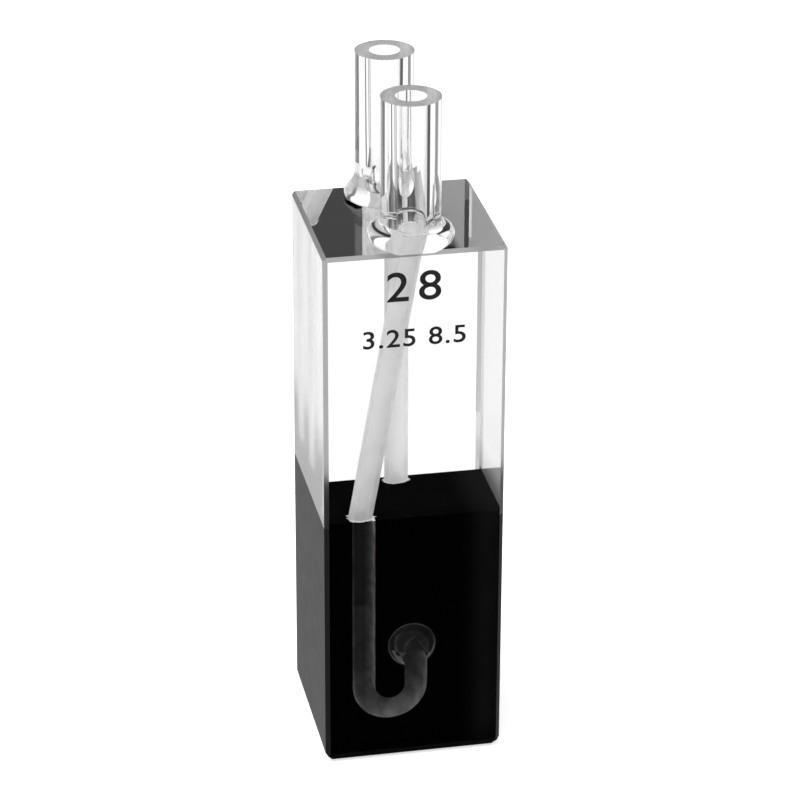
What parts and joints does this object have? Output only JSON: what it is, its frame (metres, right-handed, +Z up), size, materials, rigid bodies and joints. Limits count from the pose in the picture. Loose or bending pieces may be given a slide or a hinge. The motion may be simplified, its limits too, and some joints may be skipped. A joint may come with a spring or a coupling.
{
  "type": "flow-through cuvette",
  "caption": "Square quartz flow-through cuvette with a black lower block, a round light path between clear windows, and ground tube ports on top.",
  "frame": {"origin": "middle of the body's foot, on the surface that it stands on", "axes": "+Z up along the body and the tubes, -Y out of the front window, +X to the right when looking at the front window; the beam runs along Y"},
  "size_m": [0.0126, 0.0126, 0.049],
  "materials": {
    "clear_quartz": "clear fused quartz, polished faces, fine ground chamfers and ground channels",
    "black_quartz": "opaque black fused quartz, polished faces, ground groove and bores",
    "tube_quartz": "clear fire-polished quartz tube with flat ground end"
  },
  "bodies": {
    "root": {"front_window": "clear_quartz", "rear_window": "clear_quartz", "clear_block": "clear_quartz", "black_block": "black_quartz", "front_tube": "tube_quartz", "rear_tube": "tube_quartz"}
  },
  "joints": []
}
